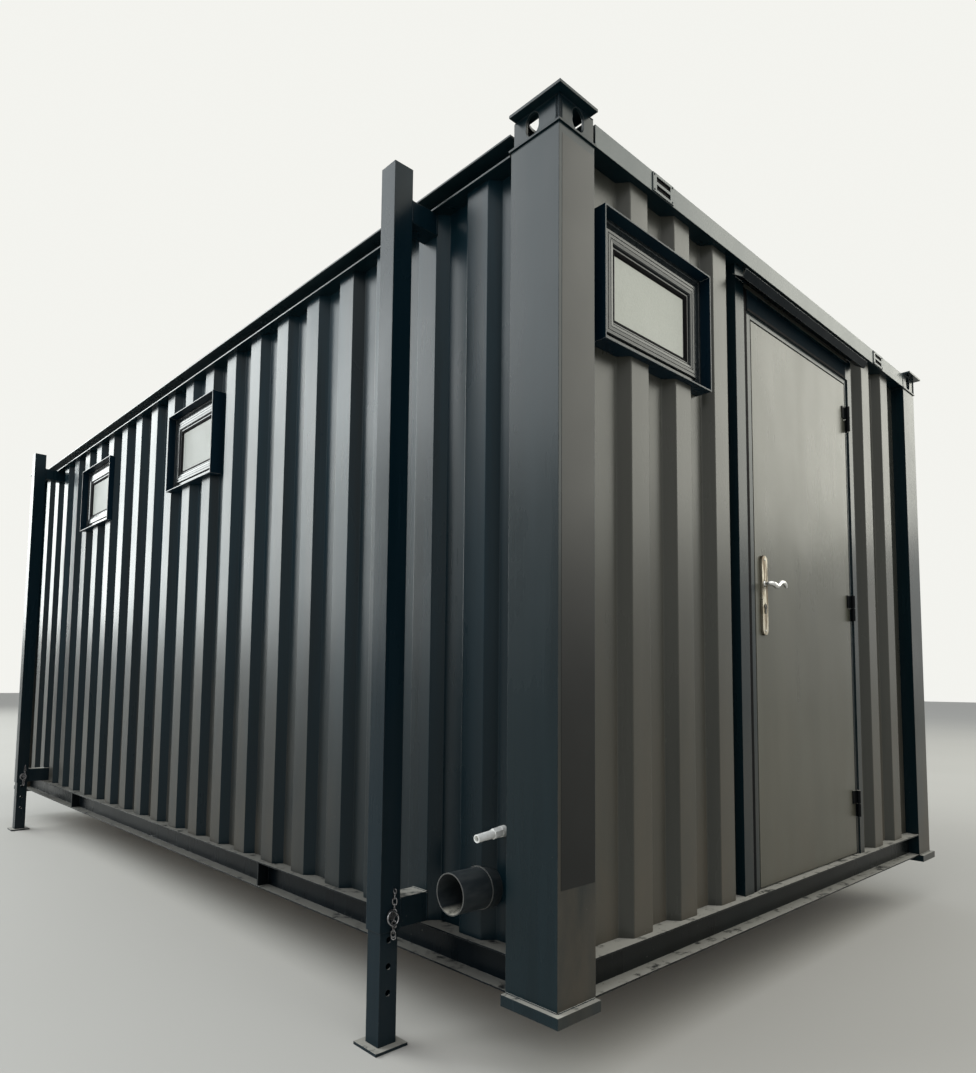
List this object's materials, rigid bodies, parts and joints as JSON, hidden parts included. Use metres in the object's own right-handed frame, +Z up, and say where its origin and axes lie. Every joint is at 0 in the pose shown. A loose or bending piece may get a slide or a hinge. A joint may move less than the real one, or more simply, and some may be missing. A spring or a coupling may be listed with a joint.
{
  "type": "jackleg site cabin",
  "caption": "Steel-clad site cabin of the container kind on adjustable jacklegs, with a door in one end, small windows and lifting boxes at the corners.",
  "frame": {"origin": "centre of the bounding box on plan, at the underside of the foot plates", "axes": "+Z up, +Y from the end with the door to the plain end, +X to the right of someone facing the door"},
  "size_m": [3.068, 5.398, 2.588],
  "materials": {
    "painted_steel": "semi-gloss",
    "lining_board": "matte",
    "plywood": "matte",
    "frame_paint": "satin",
    "obscured_glass": "frosted",
    "satin_metal": "satin",
    "grey_plastic": "matte",
    "white_plastic": "matte"
  },
  "bodies": {
    "cabin": {"front_bottom_rail": "painted_steel", "rear_bottom_rail": "painted_steel", "left_bottom_rail": "painted_steel", "right_bottom_rail": "painted_steel", "floor_joists": "painted_steel", "base_pads": "painted_steel", "front_left_post": "painted_steel", "front_right_post": "painted_steel", "rear_left_post": "painted_steel", "rear_right_post": "painted_steel", "front_left_lifting_box": "painted_steel", "front_right_lifting_box": "painted_steel", "rear_left_lifting_box": "painted_steel", "rear_right_lifting_box": "painted_steel", "front_header": "painted_steel", "rear_header": "painted_steel", "left_top_rail": "painted_steel", "right_top_rail": "painted_steel", "roof_sheet": "painted_steel", "front_wall_sheet": "painted_steel", "rear_wall_sheet": "painted_steel", "left_wall_sheet": "painted_steel", "right_wall_sheet": "painted_steel", "window_surrounds": "painted_steel", "header_vents": "painted_steel", "rain_gutter": "painted_steel", "door_frame": "painted_steel", "door_stops": "painted_steel", "hinge_frame_halves": "painted_steel", "jackleg_sleeves": "painted_steel", "jackleg_arms": "painted_steel", "jackleg_inner_legs": "painted_steel", "jackleg_foot_plates": "painted_steel", "jackleg_pins": "painted_steel", "floor_deck": "plywood", "ceiling_panel": "lining_board", "front_wall_lining": "lining_board", "rear_wall_lining": "lining_board", "left_wall_lining": "lining_board", "right_wall_lining": "lining_board", "window_frames": "frame_paint", "window_glass": "obscured_glass", "soil_pipe": "grey_plastic", "water_pipe": "white_plastic"},
    "door": {"door_leaf": "painted_steel", "hinge_door_halves": "painted_steel", "lock_plates": "satin_metal", "lock_cylinder": "satin_metal"},
    "lever": {"door_lever": "satin_metal"}
  },
  "joints": [
    {"name": "door_hinge", "type": "hinge", "parent": "cabin", "child": "door", "pos_m": [0.55675, -2.651, 1.32], "axis": [0, 0, 1], "range_deg": [0, 110]},
    {"name": "lever_pivot", "type": "hinge", "parent": "door", "child": "lever", "pos_m": [-0.227, -2.654, 1.379], "axis": [0, 1, 0], "range_deg": [0, 40], "stiffness_Nm_per_rad": 2, "springref_deg": -28.65}
  ]
}
